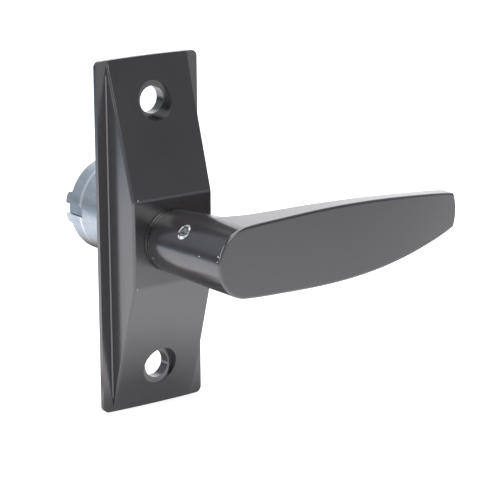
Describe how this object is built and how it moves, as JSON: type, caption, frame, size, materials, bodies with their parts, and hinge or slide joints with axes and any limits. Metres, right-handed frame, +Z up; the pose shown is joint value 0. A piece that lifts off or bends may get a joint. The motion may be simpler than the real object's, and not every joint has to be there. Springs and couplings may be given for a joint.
{
  "type": "deadlatch handle",
  "caption": "Lever handle for a narrow-stile deadlatch: leaf-shaped lever on a slim faceted escutcheon, with a round housing and swinging cam behind the plate.",
  "frame": {"origin": "on the lever's axis, in the plane of the door's face, midway between the two fixing holes", "axes": "+Z up along the escutcheon, +Y into the door along the lever's axis, +X along the lever"},
  "size_m": [0.1165, 0.079, 0.1142],
  "materials": {
    "black_finish": "near-black baked finish on cast metal, half gloss",
    "zinc_casting": "bare zinc die casting, bluish grey, satin with small dark mottling",
    "plated_steel": "zinc plated, satin",
    "bearing_steel": "turned steel, lightly oiled",
    "spring_steel": "hardened spring steel",
    "screw_steel": "bright screw steel",
    "dark_washer": "dark low-friction plastic"
  },
  "bodies": {
    "mounted_body": {"escutcheon": "black_finish", "neck_bushing": "bearing_steel", "cylinder_housing": "zinc_casting", "housing_screws": "plated_steel", "housing_end_disc": "plated_steel", "rear_bushing": "bearing_steel", "return_spring": "spring_steel"},
    "turning_body": {"lever": "black_finish", "lever_set_screw": "screw_steel", "spindle": "plated_steel", "neck_washer": "dark_washer", "thrust_washer": "bearing_steel", "stop_plate": "plated_steel", "retaining_ring": "spring_steel", "actuator_cam": "plated_steel", "cam_lock_washer": "spring_steel", "cam_screw": "screw_steel"}
  },
  "joints": [
    {"name": "lever_turn", "type": "hinge", "parent": "mounted_body", "child": "turning_body", "pos_m": [0, 0, 0], "axis": [0, 1, 0], "range_deg": [-45, 45], "stiffness_Nm_per_rad": 0.8, "springref_deg": -5.16, "deforming": ["return_spring"]}
  ]
}
